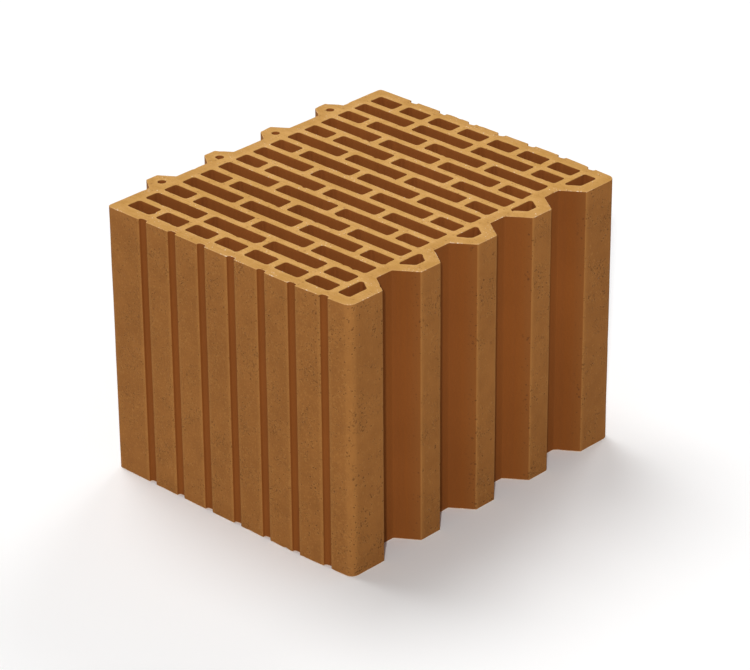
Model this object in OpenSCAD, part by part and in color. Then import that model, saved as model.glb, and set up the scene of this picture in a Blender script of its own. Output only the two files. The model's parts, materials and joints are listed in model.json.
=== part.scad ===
// Hollow clay block for thick single-leaf walls, with a tongue-and-groove head joint.
// Wet clay is pushed through a die, the column is cut by wire and the block is fired, so
// it is one piece with one section from the lower cut face to the upper one.
// X runs along the wall from the tongues to the ridges, Y through the wall, Z up.
// The origin is in the middle of the block's outer box, on the lower cut face.

/* [Block] */
// Length along the wall, from the face between the tongues to the faces of the ridges
block_length = 250; // [210:1:320]
// Width, which is the thickness of the wall that the block makes
block_width = 300; // [250:1:400]
// Height between the two cut faces
block_height = 226; // [100:1:300]
// Thickness of the outer shell, on every side
shell = 10.7; // [8:0.1:13]

/* [Chambers] */
// Number of rows of chambers through the wall
chamber_rows = 15; // [9:2:19]
// Number of short chambers that fill a row; a long chamber takes the place of two
chamber_columns = 7; // [4:1:9]
// Thickness of the webs between rows
row_web = 6.2; // [4.5:0.1:8]
// Thickness of the webs between the chambers of a row
column_web = 6.8; // [4.5:0.1:9]
// Radius of the chambers' upright corners
chamber_radius = 2; // [1:0.1:3]

/* [Head joint] */
// Distance from one tongue to the next, and from one groove to the next
tongue_pitch = 61.6; // [58:0.1:80]
// Height of a tongue above the face that it stands on
tongue_height = 12.4; // [8:0.1:16]
// Width of a tongue where it meets that face
tongue_base = 28.6; // [24:0.1:32]
// Slope of the tongues' and grooves' flanks, measured from the length of the wall
flank_angle = 34.5; // [25:0.5:40]
// Room on each side of a tongue in its groove
side_play = 6; // [2:0.1:7]
// Room between a tongue's tip and the floor of its groove
tip_play = 5.3; // [2:0.1:8]
// Diameter of the small bore down each tongue
tongue_bore = 6.3; // [4:0.1:9]
// Least width of the face of the ridge at each end of the row of grooves
least_end_ridge = 30; // [26:1:40]

/* [Outer faces] */
// Width of the upright plaster keys in the two wall faces
key_width = 7; // [4:0.1:9]
// Depth of the plaster keys
key_depth = 3; // [1.5:0.1:5]
// Radius in the plaster keys' corners
key_radius = 0.8; // [0.3:0.1:1.5]
// Length over which the wall faces draw in towards the ridges
taper_length = 50; // [20:1:90]
// How far each wall face has drawn in at the ridges
taper_depth = 3; // [0:0.1:6]
// Radius of the two upright corners beside the ridges
ridge_corner_radius = 7; // [3:0.5:9]
// Radius of the two upright corners beside the tongues
tongue_corner_radius = 3.2; // [1:0.1:8]
// Radius of the edges of the tongues, ridges and grooves
edge_radius = 1.5; // [0.5:0.1:2.5]

/* [Hidden] */

// Furthest that a straight facet may lie from the round corner that it stands for
arc_tolerance = 0.07;

half_width = block_width / 2;
flank_slope = tan(flank_angle);
tongue_tip = tongue_base - 2 * tongue_height * flank_slope;
groove_depth = tongue_height + tip_play;
groove_mouth = tongue_base + 2 * side_play;
groove_floor = groove_mouth - 2 * groove_depth * flank_slope;
groove_floor_x = block_length - groove_depth;

// As many tongues as leave a sound ridge at both ends of the row
tongue_count = floor((block_width - 2 * least_end_ridge - groove_mouth) / tongue_pitch) + 1;
tongue_row = (tongue_count - 1) * tongue_pitch;
tongue_places = [for (i = [0 : tongue_count - 1]) i * tongue_pitch - tongue_row / 2];

// The field of chambers fills the section inside the shell, up to the grooves' floors
field_end = groove_floor_x - shell;
chamber_length = (field_end - shell - (chamber_columns - 1) * column_web) / chamber_columns;
chamber_width = (block_width - 2 * shell - (chamber_rows - 1) * row_web) / chamber_rows;
column_pitch = chamber_length + column_web;
row_pitch = chamber_width + row_web;

// The ridges' chambers lie one web behind the field and one shell inside the ridges
ridge_chamber_start = field_end + row_web;
ridge_chamber_end = block_length - shell;

// One plaster key in line with the web after each column
key_places = [for (i = [0 : chamber_columns - 1]) shell + (i + 1) * column_pitch - column_web / 2];
key_round = min(key_radius, key_depth / 3, key_width / 4);

function unit(v) = v / norm(v);

// Points along the arc that rounds corner b between its neighbours a and c
function rounded_corner(a, b, c, radius) =
    let (
        to_a = unit(a - b),
        to_c = unit(c - b),
        half_angle = acos(to_a * to_c) / 2,
        reach = radius / tan(half_angle),
        centre = b + unit(to_a + to_c) * radius / sin(half_angle),
        first = b + to_a * reach - centre,
        last = b + to_c * reach - centre,
        start = atan2(first.y, first.x),
        sweep = (atan2(last.y, last.x) - start + 540) % 360 - 180,
        steps = max(2, ceil(abs(sweep) / (2 * acos(1 - arc_tolerance / radius))))
    )
    [
        for (i = [0 : steps])
            let (angle = start + sweep * i / steps)
            centre + radius * [cos(angle), sin(angle)]
    ];

// A closed outline from corners given as [x, y, radius]
function rounded(corners) =
    let (count = len(corners))
    [
        for (i = [0 : count - 1])
            let (
                before = corners[(i + count - 1) % count],
                here = corners[i],
                after = corners[(i + 1) % count]
            )
            each rounded_corner([before.x, before.y], [here.x, here.y], [after.x, after.y], here.z)
    ];

// Corners turned end for end and mirrored to the other wall face
function across(corners) =
    [for (i = [len(corners) - 1 : -1 : 0]) [corners[i].x, -corners[i].y, corners[i].z]];

// Where the wall face on the side of -Y lies at a place along the wall
function face_y(x) =
    taper_depth * max(0, x - block_length + taper_length) / taper_length - half_width;

// One plaster key, cut square into the wall face
function key_corners(x) =
    let (
        near = x - key_width / 2,
        far = x + key_width / 2,
        floor_y = face_y(x) + key_depth
    )
    [
        [near, face_y(near), key_round],
        [near, floor_y, key_round],
        [far, floor_y, key_round],
        [far, face_y(far), key_round]
    ];

// The wall face on the side of -Y, from the tongues' corner to the ridges' corner
wall_face = concat(
    [[0, -half_width, tongue_corner_radius]],
    [for (x = key_places) each key_corners(x)],
    [[block_length, face_y(block_length), ridge_corner_radius]]
);

// The grooves between the ridges
ridge_side = [
    for (y = tongue_places)
        each [
            [block_length, y - groove_mouth / 2, edge_radius],
            [groove_floor_x, y - groove_floor / 2, edge_radius],
            [groove_floor_x, y + groove_floor / 2, edge_radius],
            [block_length, y + groove_mouth / 2, edge_radius]
        ]
];

// The tongues, on the way back
tongue_side = [
    for (i = [tongue_count - 1 : -1 : 0])
        let (y = tongue_places[i])
        each [
            [0, y + tongue_base / 2, edge_radius],
            [-tongue_height, y + tongue_tip / 2, edge_radius],
            [-tongue_height, y - tongue_tip / 2, edge_radius],
            [0, y - tongue_base / 2, edge_radius]
        ]
];

// A chamber that starts at the given column and takes up one or two of them
module chamber(column, columns) {
    length = columns * column_pitch - column_web;
    translate([shell + column * column_pitch, 0])
        polygon(rounded([
            [0, -chamber_width / 2, chamber_radius],
            [length, -chamber_width / 2, chamber_radius],
            [length, chamber_width / 2, chamber_radius],
            [0, chamber_width / 2, chamber_radius]
        ]));
}

// A row of long chambers, filled up with a short one where a single column is left over
module staggered_row(first_column) {
    for (column = [0 : 1 : first_column - 1]) chamber(column, 1);
    for (column = [first_column : 2 : chamber_columns - 1])
        chamber(column, min(2, chamber_columns - column));
}

// Short chambers along both wall faces, and staggered rows between them
module chamber_field() {
    for (row = [0 : chamber_rows - 1])
        translate([0, (row - (chamber_rows - 1) / 2) * row_pitch])
            if (row == 0 || row == chamber_rows - 1) staggered_row(chamber_columns);
            else staggered_row((row + 1) % 2);
}

// How far a groove's flank, with the shell beside it, reaches from the groove's middle
function flank_reach(x) =
    groove_mouth / 2 - (block_length - x) * flank_slope + shell / cos(flank_angle);

// A chamber inside a ridge, between two grooves
module ridge_chamber(middle) {
    inner = tongue_pitch / 2 - flank_reach(ridge_chamber_start);
    outer = tongue_pitch / 2 - flank_reach(ridge_chamber_end);
    translate([0, middle])
        polygon(rounded([
            [ridge_chamber_start, -inner, chamber_radius],
            [ridge_chamber_end, -outer, chamber_radius],
            [ridge_chamber_end, outer, chamber_radius],
            [ridge_chamber_start, inner, chamber_radius]
        ]));
}

// The corners of the chamber inside the end ridge on the side of -Y
end_ridge_chamber = [
    [ridge_chamber_start, face_y(block_length) + shell, chamber_radius],
    [ridge_chamber_end, face_y(block_length) + shell, chamber_radius],
    [ridge_chamber_end, -tongue_row / 2 - flank_reach(ridge_chamber_end), chamber_radius],
    [ridge_chamber_start, -tongue_row / 2 - flank_reach(ridge_chamber_start), chamber_radius]
];

module ridge_chambers() {
    for (i = [1 : 1 : tongue_count - 1]) ridge_chamber(tongue_places[i] - tongue_pitch / 2);
    polygon(rounded(end_ridge_chamber));
    polygon(rounded(across(end_ridge_chamber)));
}

// A bore down each tongue, midway between its tip and the first chamber
module tongue_bores() {
    for (y = tongue_places)
        translate([(shell - tongue_height) / 2, y])
            circle(d = tongue_bore, $fn = 24);
}

// The whole block, one fired piece
module clay_block() {
    color([0.74, 0.53, 0.29])
        translate([(tongue_height - block_length) / 2, 0, 0])
            linear_extrude(height = block_height)
                difference() {
                    polygon(rounded(concat(wall_face, ridge_side, across(wall_face), tongue_side)));
                    chamber_field();
                    ridge_chambers();
                    tongue_bores();
                }
}

clay_block();
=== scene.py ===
import json
import math

import bmesh
import bpy
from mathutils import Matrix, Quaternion, Vector

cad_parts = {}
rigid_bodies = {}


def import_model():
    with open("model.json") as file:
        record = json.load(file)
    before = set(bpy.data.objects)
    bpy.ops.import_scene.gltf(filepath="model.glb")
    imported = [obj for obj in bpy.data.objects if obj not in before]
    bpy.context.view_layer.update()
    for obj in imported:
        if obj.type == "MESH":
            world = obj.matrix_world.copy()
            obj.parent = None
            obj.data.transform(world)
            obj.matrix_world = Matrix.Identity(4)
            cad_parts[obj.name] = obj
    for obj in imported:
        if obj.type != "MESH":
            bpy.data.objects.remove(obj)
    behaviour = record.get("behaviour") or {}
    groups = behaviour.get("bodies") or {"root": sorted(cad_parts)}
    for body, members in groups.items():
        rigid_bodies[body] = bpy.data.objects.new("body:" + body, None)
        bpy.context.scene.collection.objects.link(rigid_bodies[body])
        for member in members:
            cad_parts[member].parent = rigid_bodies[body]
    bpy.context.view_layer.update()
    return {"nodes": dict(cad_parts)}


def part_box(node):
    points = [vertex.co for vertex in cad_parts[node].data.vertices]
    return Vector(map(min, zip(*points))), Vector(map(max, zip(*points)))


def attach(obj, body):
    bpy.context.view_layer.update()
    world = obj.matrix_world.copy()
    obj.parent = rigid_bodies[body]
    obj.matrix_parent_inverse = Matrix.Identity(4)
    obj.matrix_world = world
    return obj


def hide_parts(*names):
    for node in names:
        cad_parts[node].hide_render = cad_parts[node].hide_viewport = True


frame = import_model()


# The block: one column of wet clay, pushed through a die, cut to length by a wire and fired.
# The frame's solid gives its section. Here its keys and cut edges are rounded, its faces get the
# slight swell and the nicks of fired clay, and they are sorted by how the clay there was finished.
MM = 0.001
SAME_POINT = 0.01 * MM
block_low, block_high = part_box("clay_block")
block_middle = (block_low.z + block_high.z) / 2

block = bpy.data.objects.new("fired_block", frame["nodes"]["clay_block"].data.copy())
bpy.context.scene.collection.objects.link(block)
bpy.ops.object.select_all(action="DESELECT")
block.select_set(True)
bpy.context.view_layer.objects.active = block


def pick(kind, wanted):
    """Selects the vertices, edges or faces of the block that are wanted, and tells if there are any."""
    bpy.ops.mesh.select_mode(type=kind)
    bpy.ops.mesh.select_all(action="DESELECT")
    mesh = bmesh.from_edit_mesh(block.data)
    elements = {"VERT": mesh.verts, "EDGE": mesh.edges, "FACE": mesh.faces}[kind]
    found = [element for element in elements if wanted(element)]
    for element in found:
        element.select_set(True)
    bmesh.update_edit_mesh(block.data)
    return len(found) > 0


def pick_outer_wall():
    """Selects the outside of the block, which is apart from the chambers while it has no cut faces."""
    mesh = bmesh.from_edit_mesh(block.data)
    furthest = max(mesh.verts, key=lambda vertex: vertex.co.x)
    pick("VERT", lambda vertex: vertex == furthest)
    bpy.ops.mesh.select_linked()
    bpy.ops.mesh.select_mode(type="FACE")


def levelness(face):
    """How level a face lies, from 0 on an upright wall to 1 on a cut face."""
    return abs(face.normal.z)


# The two cut faces come off, and the upright walls become clean quads
HALF_LEVEL = 0.5
FLAT_WITHIN = math.radians(1)
bpy.ops.object.mode_set(mode="EDIT")
bpy.ops.mesh.select_all(action="SELECT")
bpy.ops.mesh.remove_doubles(threshold=SAME_POINT)
pick("FACE", lambda face: levelness(face) > HALF_LEVEL)
bpy.ops.mesh.delete(type="FACE")
bpy.ops.mesh.select_all(action="SELECT")
bpy.ops.mesh.tris_convert_to_quads(face_threshold=FLAT_WITHIN, shape_threshold=math.pi)

# Each clay finish has its slot: the die's skin outside, the smooth skin of the grooves and
# keys, the skin drawn over the cores in the chambers, the cut faces and their rims, which carry
# a painted highlight: paler clay and pale crumb glints
SKIN, GROOVE, CORE, CUT, RIM = range(5)
for finish in ("die_skin_clay", "groove_clay", "core_skin_clay", "wire_cut_clay", "rim_clay"):
    block.data.materials.append(bpy.data.materials.new(finish))


def finish_selected(slot):
    """Gives the selected faces one of the block's finishes."""
    block.active_material_index = slot
    bpy.ops.object.material_slot_assign()


bpy.ops.mesh.select_all(action="SELECT")
finish_selected(CORE)
pick_outer_wall()
finish_selected(SKIN)

# The plaster keys and the head joint's grooves lie behind the outer faces, out of the fire
TAPER_LENGTH = 50 * MM
TAPER_DEPTH = 3 * MM
GROOVE_DEPTH = 17.7 * MM
RIDGE_EDGE = 1.6 * MM
KEY_LIP = 0.5 * MM
KEY_REACH = 6 * MM
TONGUE_CORNER = 16 * MM


def behind_wall(face):
    """How far a face of the outer wall lies behind the plaster face, which draws in at the ridges."""
    place = face.calc_center_median()
    drawn_in = max(0, place.x - block_high.x + TAPER_LENGTH) / TAPER_LENGTH * TAPER_DEPTH
    return block_high.y - drawn_in - abs(place.y)


def behind_ridges(face):
    """How far a face lies behind the faces of the ridges."""
    return block_high.x - face.calc_center_median().x


def in_key(face):
    """Whether a face of the outer wall lies in a plaster key, and not in one of the block's corners."""
    near_wall = KEY_LIP < behind_wall(face) < KEY_REACH
    past_tongues = face.calc_center_median().x - block_low.x > TONGUE_CORNER
    return near_wall and past_tongues and behind_ridges(face) > GROOVE_DEPTH


def in_groove(face):
    """Whether a face of the outer wall lies in a groove of the head joint."""
    near_ridges = RIDGE_EDGE < behind_ridges(face) <= GROOVE_DEPTH + KEY_LIP
    return near_ridges and behind_wall(face) > KEY_REACH


pick("FACE", lambda face: face.material_index == SKIN and (in_key(face) or in_groove(face)))
finish_selected(GROOVE)

# Room for the softened edges, then columns of faces narrow enough to carry the swell
ARRIS_RADIUS = 0.6 * MM
COLUMN_WIDTH = 3.2 * MM
pick("VERT", lambda vertex: vertex.co.z > block_middle)
bpy.ops.transform.translate(value=(0, 0, -ARRIS_RADIUS))
pick("VERT", lambda vertex: vertex.co.z < block_middle)
bpy.ops.transform.translate(value=(0, 0, ARRIS_RADIUS))


def columns_in(edge):
    """How many columns a level edge is divided into; an upright one stays whole."""
    first, second = (vertex.co for vertex in edge.verts)
    level = abs(first.z - second.z) < SAME_POINT
    return round((first - second).length / COLUMN_WIDTH) if level else 1


most_columns = max(columns_in(edge) for edge in bmesh.from_edit_mesh(block.data).edges)
for columns in range(most_columns, 1, -1):
    if pick("EDGE", lambda edge: columns_in(edge) == columns):
        bpy.ops.mesh.subdivide(number_cuts=columns - 1)

# The strips of the die that press the keys are worn round, so a key's floor rises at its sides
KEY_ROUND = 2.4 * MM
KEYS_APART = 10 * MM
outline = bmesh.from_edit_mesh(block.data)
key_faces = [face for face in outline.faces if face.material_index == GROOVE and in_key(face)]
key_vertices = {vertex for face in key_faces for vertex in face.verts}
keys = []
for vertex in sorted(key_vertices, key=lambda vertex: vertex.co.x):
    if not keys or vertex.co.x - keys[-1][-1].co.x > KEYS_APART:
        keys.append([])
    keys[-1].append(vertex)
for key in keys:
    near_side, far_side = key[0].co.x, key[-1].co.x
    key_floor = min(abs(vertex.co.y) for vertex in key)
    for vertex in key:
        from_side = min(vertex.co.x - near_side, far_side - vertex.co.x)
        into_round = max(0.0, KEY_ROUND - from_side)
        lift = KEY_ROUND - math.sqrt(KEY_ROUND ** 2 - into_round ** 2)
        vertex.co.y = math.copysign(max(abs(vertex.co.y), key_floor + lift), vertex.co.y)
outline.normal_update()
bmesh.update_edit_mesh(block.data)

# Rows of faces at these depths from both ends, with more of them on the outer wall
ALL_ROWS = [3 * MM, 12 * MM, 40 * MM]
OUTER_ROWS = [1.5 * MM, 7 * MM, 20 * MM, 29 * MM] + [(50 + 12 * row) * MM for row in range(6)]
for depth in ALL_ROWS:
    for row_height in (block_low.z + depth, block_high.z - depth):
        bpy.ops.mesh.select_all(action="SELECT")
        bpy.ops.mesh.bisect(plane_co=(0, 0, row_height), plane_no=(0, 0, 1))
for depth in OUTER_ROWS:
    for row_height in (block_low.z + depth, block_high.z - depth):
        pick_outer_wall()
        bpy.ops.mesh.bisect(plane_co=(0, 0, row_height), plane_no=(0, 0, 1))

# Both ends are drawn over in a small arc and closed with a cut face
ARRIS_STEPS = 3
NEARLY_UPRIGHT = 0.1
FULLY_LEVEL = 0.99
for end in (1, -1):
    pick("EDGE", lambda edge: edge.is_boundary and (edge.verts[0].co.z - block_middle) * end > 0)
    for step in range(ARRIS_STEPS):
        start = math.pi / 2 * step / ARRIS_STEPS
        stop = math.pi / 2 * (step + 1) / ARRIS_STEPS
        rise = ARRIS_RADIUS * (math.sin(stop) - math.sin(start))
        draw_in = ARRIS_RADIUS * (math.cos(start) - math.cos(stop))
        bpy.ops.mesh.extrude_edges_move(TRANSFORM_OT_translate={"value": (0, 0, end * rise)})
        bpy.ops.transform.shrink_fatten(value=-draw_in, use_even_offset=True)
    bpy.ops.mesh.fill(use_beauty=True)
bpy.ops.mesh.select_all(action="SELECT")
bpy.ops.mesh.normals_make_consistent(inside=False)


def on_outer_rim(face):
    """Whether a face leans over at a cut edge of the outer wall, or lies in a cut face."""
    return levelness(face) > NEARLY_UPRIGHT and face.material_index != CORE


def on_cut(face):
    """Whether a face lies in a cut face, or leans over to it from a chamber."""
    leans = levelness(face) > NEARLY_UPRIGHT
    return levelness(face) > FULLY_LEVEL or (leans and face.material_index == CORE)


pick("FACE", on_outer_rim)
finish_selected(RIM)
pick("FACE", on_cut)
finish_selected(CUT)
bpy.ops.object.mode_set(mode="OBJECT")

# Marks from 0 to 1 for the finishes: the upright arrises, which get a painted highlight and some
# wear, the inner corners of chambers and grooves, which get painted shade, and the outer wall, which
# fired first
FULL_TURN = math.radians(22)
UPRIGHT_SHARE = 0.9
walls = bmesh.new()
walls.from_mesh(block.data)
marks = {name: [0.0] * len(walls.verts) for name in ("arris", "corner", "outside")}
for edge in walls.edges:
    first, second = edge.verts
    if abs(first.co.z - second.co.z) > UPRIGHT_SHARE * edge.calc_length():
        turn = edge.calc_face_angle_signed() / FULL_TURN
        for vertex in edge.verts:
            marks["arris"][vertex.index] = max(min(turn, 1.0), marks["arris"][vertex.index])
            marks["corner"][vertex.index] = max(min(-turn, 1.0), marks["corner"][vertex.index])
for face in walls.faces:
    if face.material_index in (SKIN, GROOVE, RIM):
        for vertex in face.verts:
            marks["outside"][vertex.index] = 1.0
walls.free()
for name, values in marks.items():
    block.data.attributes.new(name, "FLOAT", "POINT").data.foreach_set("value", values)

# Fired clay is never quite flat: a slow swell all over, inwards of the frame's faces
SWELL_DEPTH = 0.35 * MM
SWELL_SIZE = 28 * MM
swell_pattern = bpy.data.textures.new("slow_swell", "CLOUDS")
swell_pattern.noise_scale = SWELL_SIZE
swell_pattern.noise_depth = 2
swelling = block.modifiers.new("slow_swell", "DISPLACE")
swelling.texture = swell_pattern
swelling.texture_coords = "LOCAL"
swelling.strength = SWELL_DEPTH
swelling.mid_level = 1.0
bpy.ops.object.modifier_apply(modifier=swelling.name)

# The cut edges crumble a little: shallow nicks along both rims of the block and its chambers
NICK_DEPTH = 0.7 * MM
NICK_SIZE = 4.5 * MM
NICK_REACH = 1.2 * ARRIS_RADIUS
NICK_START = 0.64
NICK_FULL = 0.84
nicked_from = block_high.z - block_middle - NICK_REACH
nicked = [
    vertex.index for vertex in block.data.vertices if abs(vertex.co.z - block_middle) > nicked_from
]
cut_edges = block.vertex_groups.new(name="cut_edges")
cut_edges.add(nicked, 1.0, "REPLACE")
nick_pattern = bpy.data.textures.new("nicks", "CLOUDS")
nick_pattern.noise_scale = NICK_SIZE
nick_pattern.use_color_ramp = True
nick_pattern.color_ramp.elements[0].position = NICK_START
nick_pattern.color_ramp.elements[1].position = NICK_FULL
nicking = block.modifiers.new("nicks", "DISPLACE")
nicking.texture = nick_pattern
nicking.texture_coords = "LOCAL"
nicking.vertex_group = cut_edges.name
nicking.strength = -NICK_DEPTH
nicking.mid_level = 0.0
bpy.ops.object.modifier_apply(modifier=nicking.name)

SHARP_TURN = math.radians(40)
bpy.ops.object.shade_smooth_by_angle(angle=SHARP_TURN)


# The block's finishes share five effects of the clay and the die. Each effect is a group of
# nodes that reads the place on the block, in metres, and gives masks from 0 to 1.
def feed(tree, socket, value):
    """Gives an input a link or a plain value."""
    if isinstance(value, bpy.types.NodeSocket):
        tree.links.new(value, socket)
    else:
        socket.default_value = value


def place_node(tree, kind, settings=None, **inputs):
    """Adds a node, sets its options, and feeds its inputs by name."""
    node = tree.nodes.new(kind)
    for name, value in (settings or {}).items():
        setattr(node, name, value)
    for name, value in inputs.items():
        feed(tree, node.inputs[name], value)
    return node


def reckon(tree, operation, *terms):
    """A Math node on numbers or links."""
    node = place_node(tree, "ShaderNodeMath", {"operation": operation})
    for socket, term in zip(node.inputs, terms):
        feed(tree, socket, term)
    return node.outputs[0]


def spread(tree, value, low, high, to_low=0.0, to_high=1.0):
    """Stretches a value from one range to another, smoothly and with flat ends."""
    node = place_node(tree, "ShaderNodeMapRange", {"interpolation_type": "SMOOTHSTEP"}, Value=value)
    for name, number in (("From Min", low), ("From Max", high), ("To Min", to_low), ("To Max", to_high)):
        feed(tree, node.inputs[name], number)
    return node.outputs["Result"]


def new_effect(name, inputs, outputs):
    """Starts a group of nodes that takes the place on the block, and other inputs, and gives masks."""
    group = bpy.data.node_groups.new(name, "ShaderNodeTree")
    group.interface.new_socket("Vector", in_out="INPUT", socket_type="NodeSocketVector")
    for socket, value in inputs.items():
        made = group.interface.new_socket(socket, in_out="INPUT", socket_type="NodeSocketFloat")
        made.default_value = value
    for socket in outputs:
        group.interface.new_socket(socket, in_out="OUTPUT", socket_type="NodeSocketFloat")
    return group, group.nodes.new("NodeGroupInput").outputs, group.nodes.new("NodeGroupOutput").inputs


def noise(tree, place, per_metre, detail):
    """A cloudy pattern with so many clouds in a metre, as a noise node's outputs."""
    return place_node(tree, "ShaderNodeTexNoise", Vector=place, Scale=per_metre, Detail=detail).outputs


def shifted(tree, place, **changes):
    """A vector, moved or stretched by a Mapping node."""
    return place_node(tree, "ShaderNodeMapping", Vector=place, **changes).outputs[0]


# Pores: ragged pits of all sizes, where grains and sawdust burnt out, gathered in loose clusters,
# and the pale lips around them. The size is a share of the spacing, floor and lip of the radius.
PORE_SPACING = 2.3 * MM
PORE_SHARE = 0.7
PORE_SIZE = 0.55
PORE_RAGGED = 2.2 * MM
JAGS_PER_METRE = 750.0
CLUSTERS_PER_METRE = 65.0
CLUSTER_EDGE = (0.42, 0.62)
BETWEEN_CLUSTERS = 0.08
SMALLEST_PORE = 0.55
PORE_FLOOR = 0.4
LIP_WIDTH = 1.5
pores, given, result = new_effect(
    "clay_pores", {"Spacing": PORE_SPACING, "Share": PORE_SHARE, "Size": PORE_SIZE}, ["Pore", "Lip"]
)
jagged = noise(pores, given["Vector"], JAGS_PER_METRE, 2.0)["Color"]
nudge = shifted(pores, jagged, Scale=(PORE_RAGGED, PORE_RAGGED, PORE_RAGGED))
ragged = shifted(pores, given["Vector"], Location=nudge)
cells_per_metre = reckon(pores, "DIVIDE", 1.0, given["Spacing"])
cells = place_node(pores, "ShaderNodeTexVoronoi", Vector=ragged, Scale=cells_per_metre).outputs
chances = place_node(pores, "ShaderNodeSeparateColor", Color=cells["Color"]).outputs
gathering = noise(pores, given["Vector"], CLUSTERS_PER_METRE, 2.0)["Fac"]
cluster = spread(pores, gathering, *CLUSTER_EDGE, BETWEEN_CLUSTERS, 1.0)
likely = reckon(pores, "MULTIPLY", given["Share"], cluster)
present = reckon(pores, "LESS_THAN", chances["Red"], likely)
mostly_small = reckon(pores, "POWER", chances["Green"], 2.0)
own_size = spread(pores, mostly_small, 0.0, 1.0, SMALLEST_PORE, 1.0)
radius = reckon(pores, "MULTIPLY", given["Size"], own_size)
hole = spread(pores, cells["Distance"], radius, reckon(pores, "MULTIPLY", radius, PORE_FLOOR))
pores.links.new(reckon(pores, "MULTIPLY", hole, present), result["Pore"])
hole_and_lip = spread(pores, cells["Distance"], reckon(pores, "MULTIPLY", radius, LIP_WIDTH), radius)
beside_hole = reckon(pores, "SUBTRACT", hole_and_lip, hole)
pores.links.new(reckon(pores, "MULTIPLY", beside_hole, present), result["Lip"])

# Crazing: short, wandering cracks where the skin tore a little, in patches and broken up, with
# pale lips. A crack follows the middle level of a cloudy pattern, and its widths are in levels.
WANDERS_PER_METRE = 260.0
MIDDLE_LEVEL = 0.5
CRACK_WIDTH = 0.05
CRACK_FLOOR = 0.015
CRACK_AND_LIP = 0.11
TORN_PATCHES_PER_METRE = 48.0
TORN_PATCH_EDGE = (0.5, 0.62)
BREAKS_PER_METRE = 430.0
BREAK_EDGE = (0.46, 0.56)
crazing, given, result = new_effect("skin_crazing", {}, ["Crack", "Lip"])
wander = noise(crazing, given["Vector"], WANDERS_PER_METRE, 1.0)["Fac"]
from_line = reckon(crazing, "ABSOLUTE", reckon(crazing, "SUBTRACT", wander, MIDDLE_LEVEL))
patches = noise(crazing, given["Vector"], TORN_PATCHES_PER_METRE, 2.0)["Fac"]
torn_patch = spread(crazing, patches, *TORN_PATCH_EDGE)
breaks = noise(crazing, given["Vector"], BREAKS_PER_METRE, 1.0)["Fac"]
unbroken = spread(crazing, breaks, *BREAK_EDGE)
torn_here = reckon(crazing, "MULTIPLY", torn_patch, unbroken)
crack = spread(crazing, from_line, CRACK_WIDTH, CRACK_FLOOR)
crazing.links.new(reckon(crazing, "MULTIPLY", crack, torn_here), result["Crack"])
crack_and_lip = spread(crazing, from_line, CRACK_AND_LIP, CRACK_WIDTH)
beside_crack = reckon(crazing, "SUBTRACT", crack_and_lip, crack)
crazing.links.new(reckon(crazing, "MULTIPLY", beside_crack, torn_here), result["Lip"])

# Mottle: the uneven mix and firing of the clay, in broad clouds, in patches, in grains and in sand
FIRST_CLOUD = (300 * MM, 0, 0)
MOST_LEVELS = (0.3, 0.7)
GRAIN_LEVELS = (0.28, 0.72)
mottle, given, result = new_effect("clay_mottle", {}, ["Cloud", "Patch", "Grain", "Sand"])
cloudy_place = shifted(mottle, given["Vector"], Location=FIRST_CLOUD)
for output, per_metre, detail, levels in (
    ("Cloud", 11.0, 3.0, MOST_LEVELS),
    ("Patch", 75.0, 4.0, MOST_LEVELS),
    ("Grain", 620.0, 3.0, GRAIN_LEVELS),
    ("Sand", 2400.0, 2.0, MOST_LEVELS),
):
    uneven = noise(mottle, cloudy_place, per_metre, detail)["Fac"]
    mottle.links.new(spread(mottle, uneven, *levels), result[output])

# Drag: fine lines that the die draws along the clay, all the way up the block
DRAWN_UP = (1.0, 1.0, 0.02)
LINES_PER_METRE = 260.0
drag, given, result = new_effect("die_drag", {"Lines": LINES_PER_METRE}, ["Drag"])
lines = noise(drag, shifted(drag, given["Vector"], Scale=DRAWN_UP), given["Lines"], 3.0)["Fac"]
drag.links.new(spread(drag, lines, *MOST_LEVELS), result["Drag"])

# Tear: the rough grain that the wire leaves, drawn out along its path across the block
DRAWN_ALONG_WIRE = (0.35, 1.0, 1.0)
TEARS_PER_METRE = 420.0
tear, given, result = new_effect("wire_tear", {}, ["Tear"])
along_wire = shifted(tear, given["Vector"], Scale=DRAWN_ALONG_WIRE)
torn = noise(tear, along_wire, TEARS_PER_METRE, 5.0)["Fac"]
tear.links.new(spread(tear, torn, *MOST_LEVELS), result["Tear"])

# Every finish is dry and matt. A Mix node's colours come after its sockets of other kinds.
DRY_CLAY_SHINE = 0.1
MIX_SHARE, MIX_UNDER, MIX_OVER = 0, 6, 7
MIX_COLOUR = 2


def open_finish(slot):
    """Opens one of the block's finishes: its tree, its shader and the place on the block."""
    material = block.data.materials[slot]
    material.use_nodes = True
    tree = material.node_tree
    shader = tree.nodes["Principled BSDF"]
    shader.inputs["Specular IOR Level"].default_value = DRY_CLAY_SHINE
    place = tree.nodes.new("ShaderNodeTexCoord").outputs["Object"]
    return tree, shader, place


def effect(tree, group, **inputs):
    """Places an effect in a finish and returns its outputs."""
    return place_node(tree, "ShaderNodeGroup", {"node_tree": group}, **inputs).outputs


def mark(tree, name, full=1.0):
    """One of the block's marks, smoothed, and whole from the given level up."""
    level = place_node(tree, "ShaderNodeAttribute", {"attribute_name": name}).outputs["Fac"]
    return spread(tree, level, 0.0, full)


def weigh(tree, *parts):
    """Adds up masks, each taken by its own weight."""
    total = 0.0
    for mask, weight in parts:
        total = reckon(tree, "MULTIPLY_ADD", mask, weight, total)
    return total


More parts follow.
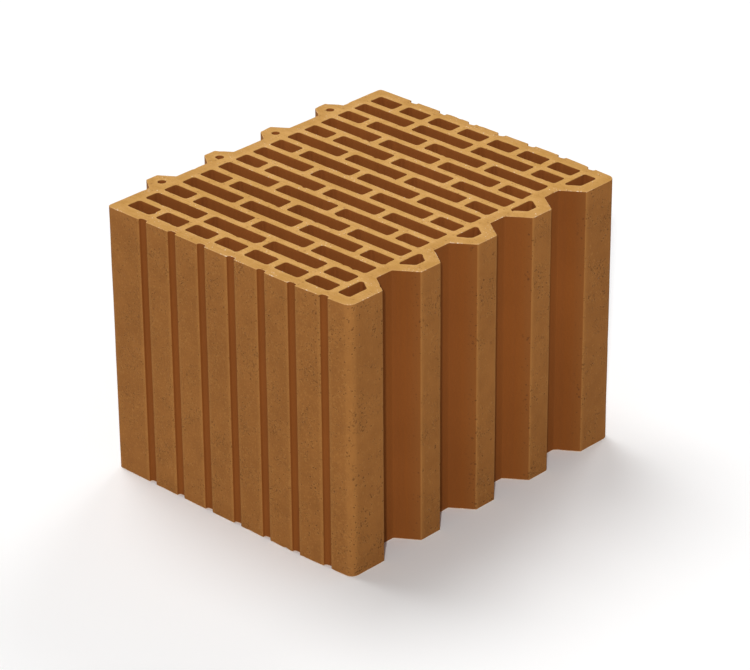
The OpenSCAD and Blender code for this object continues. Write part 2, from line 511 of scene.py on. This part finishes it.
def tint(tree, mask, under, over, most=1.0, blend="MIX"):
    """Lays one colour over another by a mask from 0 to 1, and by no more than the most given."""
    node = place_node(tree, "ShaderNodeMix", {"data_type": "RGBA", "blend_type": blend})
    feed(tree, node.inputs[MIX_SHARE], reckon(tree, "MULTIPLY", mask, most))
    feed(tree, node.inputs[MIX_UNDER], under)
    feed(tree, node.inputs[MIX_OVER], over)
    return node.outputs[MIX_COLOUR]


def lay_surface(tree, shader, colour, roughness, height, depth):
    """Feeds a finish's shader. The relief is the height, times the given depth."""
    tree.links.new(colour, shader.inputs["Base Color"])
    tree.links.new(roughness, shader.inputs["Roughness"])
    bump = place_node(tree, "ShaderNodeBump", Height=height, Distance=depth, Strength=1.0)
    tree.links.new(bump.outputs["Normal"], shader.inputs["Normal"])


# The die's skin on the outer faces: ochre brown, mottled, full of pinholes, paler on each arris
# as a painted highlight with some wear, paler below the upper cut face as painted light, and
# calmer on the faces of the ridges
RIDGE_CALM = 0.55
RIDGE_REACH = 6 * MM
RIDGE_PORE_SHARE = 0.58
TOP_LIGHT_REACH = 24 * MM
TOP_LIGHT_PALING = 0.3
PALE_GRAIN = 0.68
GRAIN_PALING = 0.3
ARRIS_SHEEN_AND_WEAR = 0.26
LIP_PALING = 0.35
CRACK_SHADE = 0.4
PINHOLE_SHADE = 0.65
MIDDLE_GRAIN = 0.5
SKIN_ROUGHNESS = (0.82, 0.95)
SKIN_RELIEF = 0.4 * MM
SKIN_TOP_LIT = (0.404, 0.164, 0.0395, 1)
SKIN_DEEP = (0.259, 0.0993, 0.0236, 1)
SKIN_PALE = (0.350, 0.1410, 0.0344, 1)
SKIN_ARRIS = (0.455, 0.2090, 0.0565, 1)
SKIN_PORE = (0.130, 0.0430, 0.0105, 1)
ridge_start = block_high.x - RIDGE_REACH
tree, shader, place = open_finish(SKIN)
spot = place_node(tree, "ShaderNodeSeparateXYZ", Vector=place).outputs
calm = spread(tree, spot["X"], ridge_start, block_high.x, 1.0, RIDGE_CALM)
clouds = effect(tree, mottle, Vector=place)
from_middle = reckon(tree, "SUBTRACT", clouds["Grain"], MIDDLE_GRAIN)
grain = reckon(tree, "MULTIPLY_ADD", from_middle, calm, MIDDLE_GRAIN)
pitted_share = spread(tree, spot["X"], ridge_start, block_high.x, PORE_SHARE, RIDGE_PORE_SHARE)
pitted = effect(tree, pores, Vector=place, Share=pitted_share)
pinholes = pitted["Pore"]
crazed = effect(tree, crazing, Vector=place)
cracks = crazed["Crack"]
drawn = effect(tree, drag, Vector=place)["Drag"]
mix = weigh(tree, (clouds["Patch"], 0.35), (clouds["Cloud"], 0.35), (grain, 0.3))
colour = tint(tree, mix, SKIN_DEEP, SKIN_PALE)
# Painted light: the skin gets paler towards the upper cut face
painted_top_light = spread(tree, spot["Z"], block_high.z - TOP_LIGHT_REACH, block_high.z, 0.0, TOP_LIGHT_PALING)
colour = tint(tree, painted_top_light, colour, SKIN_TOP_LIT)
pale_grains = spread(tree, grain, PALE_GRAIN, 1.0, 0.0, GRAIN_PALING)
colour = tint(tree, pale_grains, colour, SKIN_ARRIS)
# Painted highlight, with some wear: paler along the upright arrises
colour = tint(tree, mark(tree, "arris"), colour, SKIN_ARRIS, ARRIS_SHEEN_AND_WEAR)
lips = reckon(tree, "MAXIMUM", pitted["Lip"], crazed["Lip"])
colour = tint(tree, lips, colour, SKIN_ARRIS, LIP_PALING)
colour = tint(tree, cracks, colour, SKIN_PORE, CRACK_SHADE)
colour = tint(tree, pinholes, colour, SKIN_PORE, PINHOLE_SHADE)
roughness = spread(tree, clouds["Grain"], 0.0, 1.0, *SKIN_ROUGHNESS)
coarse = weigh(tree, (drawn, 0.12), (clouds["Grain"], 0.25), (clouds["Sand"], 0.12))
coarse = reckon(tree, "MULTIPLY", coarse, calm)
height = weigh(tree, (coarse, 1.0), (cracks, -0.6), (pinholes, -0.7))
lay_surface(tree, shader, colour, roughness, height, SKIN_RELIEF)

# The skin in the grooves and keys, and the skin over the cores: redder, smooth and drawn in fine
# upright lines. The grooves' flanks take on the outer skin's looks towards the ridges' faces.
# The colour that darkens the inner corners as painted shade
CORNER_PAINTED_SHADE = (0.78, 0.76, 0.74, 1)
GROOVE_DEEP = (0.214, 0.0637, 0.0112, 1)
GROOVE_PALE = (0.261, 0.0794, 0.0145, 1)
CORE_DEEP = (0.295, 0.0910, 0.0187, 1)
CORE_PALE = (0.369, 0.1160, 0.0245, 1)
FLANK_REACH = 10 * MM
FLANK_PALING = 0.4
SMOOTH_ROUGHNESS = (0.72, 0.88)
SMOOTH_RELIEF = 0.15 * MM


def lay_smooth_skin(slot, deep, pale, painted_shade):
    """A smooth skin between two colours, with painted shade darkening its inner corners by the given
    share.
    """
    tree, shader, place = open_finish(slot)
    clouds = effect(tree, mottle, Vector=place)
    drawn = effect(tree, drag, Vector=place)["Drag"]
    mix = weigh(tree, (drawn, 0.25), (clouds["Cloud"], 0.6), (clouds["Grain"], 0.15))
    colour = tint(tree, mix, deep, pale)
    # Painted shade: darker in the inner corners
    colour = tint(tree, mark(tree, "corner"), colour, CORNER_PAINTED_SHADE, painted_shade, "MULTIPLY")
    along = place_node(tree, "ShaderNodeSeparateXYZ", Vector=place).outputs["X"]
    by_ridge = spread(tree, along, block_high.x - FLANK_REACH, block_high.x)
    colour = tint(tree, by_ridge, colour, SKIN_DEEP, FLANK_PALING)
    pinholes = reckon(tree, "MULTIPLY", effect(tree, pores, Vector=place)["Pore"], by_ridge)
    colour = tint(tree, pinholes, colour, SKIN_PORE)
    roughness = spread(tree, drawn, 0.0, 1.0, *SMOOTH_ROUGHNESS)
    height = weigh(tree, (drawn, 0.35), (clouds["Grain"], 0.25), (clouds["Sand"], 0.1))
    lay_surface(tree, shader, colour, roughness, height, SMOOTH_RELIEF)


lay_smooth_skin(GROOVE, GROOVE_DEEP, GROOVE_PALE, painted_shade=0.1)
lay_smooth_skin(CORE, CORE_DEEP, CORE_PALE, painted_shade=1.0)

# The wire-cut faces, deeper in the outer shell, and their rims, paler as a painted highlight along
# the cut edges. Both show the clay's own pale body, torn a little by the wire, with pale crumb
# glints painted on its highest grains, many more of them on the rims.
SHELL_FIRED = (0.91, 0.88, 0.83, 1)
SHELL_MARK = 0.45
CUT_GOLD = (0.566, 0.297, 0.074, 1)
CUT_PEACH = (0.719, 0.404, 0.137, 1)
# The rims' colours are the cut face's, made paler: a painted highlight along the cut edges
RIM_GOLD_SHEEN = (0.646, 0.345, 0.106, 1)
RIM_PEACH_SHEEN = (0.775, 0.453, 0.185, 1)
CUT_PORE = (0.30, 0.120, 0.036, 1)
CUT_CRUMB_GLINT = (0.94, 0.73, 0.53, 1)
CUT_PORE_SHARE = 0.25
CUT_PORE_SHADE = 0.5
GLINT_PATCH_EDGE = (0.45, 0.75)
CUT_ROUGHNESS = (0.85, 0.97)
CUT_RELIEF = 0.3 * MM


def lay_cut_clay(slot, gold, peach, glints_from):
    """Cut clay between two colours, with pale crumb glints painted on the grains from the given height
    up.
    """
    tree, shader, place = open_finish(slot)
    clouds = effect(tree, mottle, Vector=place)
    pinholes = effect(tree, pores, Vector=place, Share=CUT_PORE_SHARE)["Pore"]
    torn_grain = effect(tree, tear, Vector=place)["Tear"]
    mix = weigh(tree, (clouds["Patch"], 0.4), (clouds["Cloud"], 0.25), (torn_grain, 0.35))
    colour = tint(tree, mix, gold, peach)
    colour = tint(tree, mark(tree, "outside", SHELL_MARK), colour, SHELL_FIRED, blend="MULTIPLY")
    colour = tint(tree, pinholes, colour, CUT_PORE, CUT_PORE_SHADE)
    # Painted glints: pale specks on the highest grains, gathered in patches
    gathered_glints = spread(tree, clouds["Patch"], *GLINT_PATCH_EDGE)
    crumb_glints = reckon(tree, "MULTIPLY", spread(tree, clouds["Grain"], glints_from, 1.0), gathered_glints)
    colour = tint(tree, crumb_glints, colour, CUT_CRUMB_GLINT)
    roughness = spread(tree, torn_grain, 0.0, 1.0, *CUT_ROUGHNESS)
    coarse = weigh(tree, (torn_grain, 0.6), (clouds["Grain"], 0.3), (clouds["Sand"], 0.15))
    height = weigh(tree, (coarse, 1.0), (pinholes, -0.5))
    lay_surface(tree, shader, colour, roughness, height, CUT_RELIEF)


lay_cut_clay(CUT, CUT_GOLD, CUT_PEACH, glints_from=0.92)
lay_cut_clay(RIM, RIM_GOLD_SHEEN, RIM_PEACH_SHEEN, glints_from=0.52)

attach(block, "root")
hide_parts("clay_block")


# The studio floor: a wide, plain white sheet that the block stands on. To the eye it is pure
# white, apart from the block's shadow, and the light that it throws back is that of a pale grey.
FLOOR_SIZE = 30.0
FLOOR_LIT = (0.75, 0.75, 0.75, 1)
FLOOR_SEEN = (1.0, 1.0, 1.0, 1)
FLOOR_ROUGHNESS = 0.9
bpy.ops.object.select_all(action="DESELECT")
bpy.ops.mesh.primitive_plane_add(size=FLOOR_SIZE, location=(0, 0, block_low.z))
floor = bpy.context.object
floor.name = "floor"
floor_white = bpy.data.materials.new("floor_white")
floor_white.use_nodes = True
tree = floor_white.node_tree
sheet = tree.nodes["Principled BSDF"]
sheet.inputs["Roughness"].default_value = FLOOR_ROUGHNESS


def seen_plainly(tree):
    """One on the rays that the eye follows, through mirrors and glass too, and zero on all others."""
    path = tree.nodes.new("ShaderNodeLightPath").outputs
    through = reckon(tree, "MAXIMUM", path["Is Glossy Ray"], path["Is Transmission Ray"])
    return reckon(tree, "MAXIMUM", path["Is Camera Ray"], through)


tree.links.new(tint(tree, seen_plainly(tree), FLOOR_LIT, FLOOR_SEEN), sheet.inputs["Base Color"])
floor.data.materials.append(floor_white)


# The studio light: an even white room, a broad lamp from the upper left, a small one beside the
# camera, whose shadows fall close behind the ridges, and a weak one behind, along the tongues
ROOM_WHITE = (1, 1, 1, 1)
ROOM_LIGHT = 0.2
world = bpy.data.worlds.new("studio")
world.use_nodes = True
bpy.context.scene.world = world
tree = world.node_tree
sky = tree.nodes["Background"]
sky.inputs["Color"].default_value = ROOM_WHITE
brightness = reckon(tree, "MULTIPLY_ADD", seen_plainly(tree), 1.0 - ROOM_LIGHT, ROOM_LIGHT)
tree.links.new(brightness, sky.inputs["Strength"])


def direction(azimuth, elevation):
    """The way from the block to a lamp or camera: azimuth 0 is -Y and 90 is +X, as views are counted."""
    around, up = math.radians(azimuth), math.radians(elevation)
    level = math.cos(up)
    return Vector((math.sin(around) * level, -math.cos(around) * level, math.sin(up)))


def add_lamp(name, azimuth, elevation, strength, width):
    """A far lamp that looks as many degrees wide as its width says."""
    lamp = bpy.data.lights.new(name, "SUN")
    lamp.energy = strength
    lamp.angle = math.radians(width)
    holder = bpy.data.objects.new(name, lamp)
    bpy.context.scene.collection.objects.link(holder)
    holder.rotation_euler = direction(azimuth, elevation).to_track_quat("Z", "Y").to_euler()


add_lamp("lamp_left", azimuth=-100, elevation=62, strength=1.52, width=35)
add_lamp("lamp_front", azimuth=39.2, elevation=29, strength=1.8, width=2.5)
add_lamp("lamp_back", azimuth=197, elevation=34, strength=0.66, width=25)


# The camera: a long lens, looking down on the corner between a wall face and the ridges, so far
# away that the block's upright edges run almost side by side
VIEW_AZIMUTH = 43.568
VIEW_ELEVATION = 27.452
VIEW_ROLL = math.radians(-0.423)
VIEW_AIM = Vector((8.19 * MM, 8.02 * MM, 100.48 * MM))
VIEW_DISTANCE = 2658.8 * MM
SENSOR_WIDTH = 36.0
LENS_LENGTH = 164.45
FURTHEST_SEEN = 100.0
lens = bpy.data.cameras.new("camera")
lens.sensor_width = SENSOR_WIDTH
lens.lens = LENS_LENGTH
lens.clip_end = FURTHEST_SEEN
camera = bpy.data.objects.new("camera", lens)
bpy.context.scene.collection.objects.link(camera)
towards_camera = direction(VIEW_AZIMUTH, VIEW_ELEVATION)
camera.location = VIEW_AIM + towards_camera * VIEW_DISTANCE
upright = towards_camera.to_track_quat("Z", "Y")
camera.rotation_mode = "QUATERNION"
camera.rotation_quaternion = upright @ Quaternion((0, 0, 1), VIEW_ROLL)
bpy.context.scene.camera = camera
bpy.context.scene.view_settings.view_transform = "Standard"
